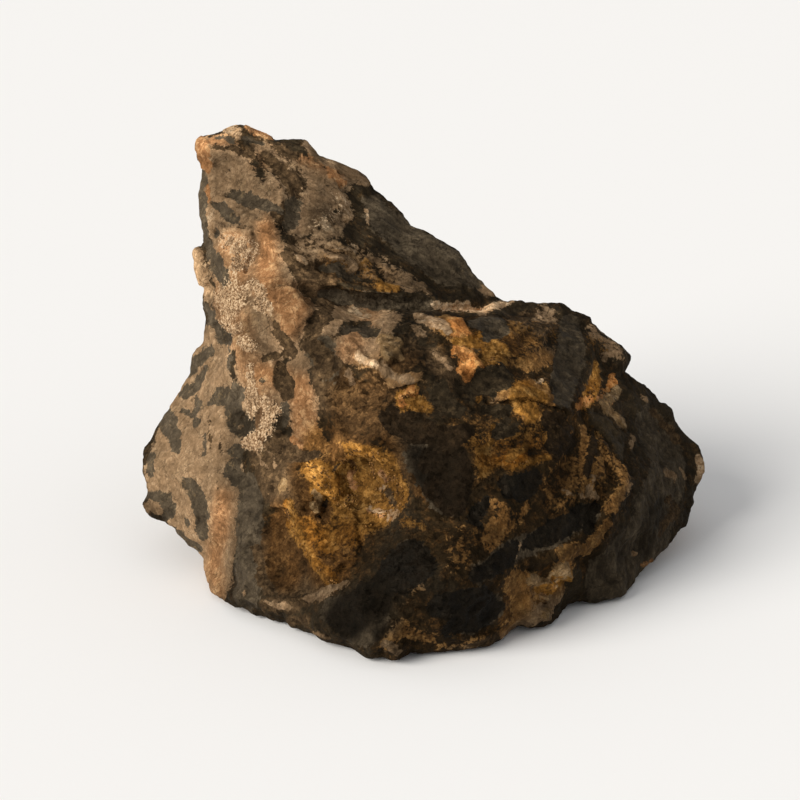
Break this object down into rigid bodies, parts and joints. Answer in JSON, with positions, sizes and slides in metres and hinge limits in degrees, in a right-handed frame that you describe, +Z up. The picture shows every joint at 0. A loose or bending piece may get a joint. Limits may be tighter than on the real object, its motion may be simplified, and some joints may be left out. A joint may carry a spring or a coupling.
{
  "type": "raw tourmaline rock",
  "caption": "Broken natural lump of black tourmaline in iron-stained feldspar, tall at one end and flat underneath, to display or handle.",
  "frame": {"origin": "on the ground, under the middle of the lump's box", "axes": "+Z up, -Y towards the side that the picture shows, +X to the right as seen from there"},
  "size_m": [0.1238, 0.106, 0.0892],
  "materials": {
    "stone": "rough, broken, dull, with satin black crystal faces"
  },
  "bodies": {
    "root": {"raw_tourmaline": "stone"}
  },
  "joints": []
}
